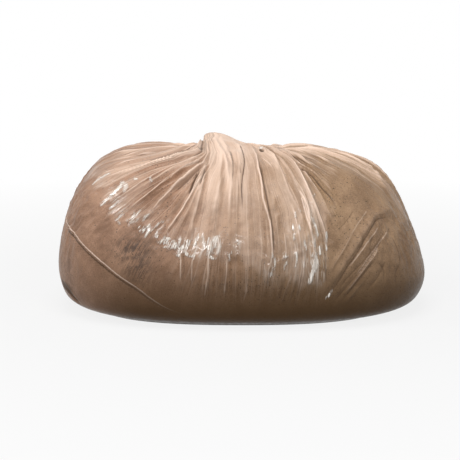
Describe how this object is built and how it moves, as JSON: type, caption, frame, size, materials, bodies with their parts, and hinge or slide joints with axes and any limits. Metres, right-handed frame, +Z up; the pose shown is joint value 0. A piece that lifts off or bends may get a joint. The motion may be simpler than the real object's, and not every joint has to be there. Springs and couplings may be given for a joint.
{
  "type": "bag of wood ash",
  "caption": "Thin translucent plastic liner filled with sieved wood ash, slumped into a long loaf shape on a flat base, with radiating pleats up to a gathered neck folded over the top.",
  "frame": {"origin": "on the floor, under the middle of the bag's plan outline", "axes": "+X along the bag's length, to the right seen from the front; -Y towards the front; +Z up"},
  "size_m": [0.4, 0.2699, 0.1903],
  "materials": {
    "film": "thin milky translucent film, glossy, creased",
    "ash": "matt fine sieved powder with small charcoal specks"
  },
  "bodies": {
    "root": {"film_bag": "film", "wood_ash": "ash"}
  },
  "joints": []
}
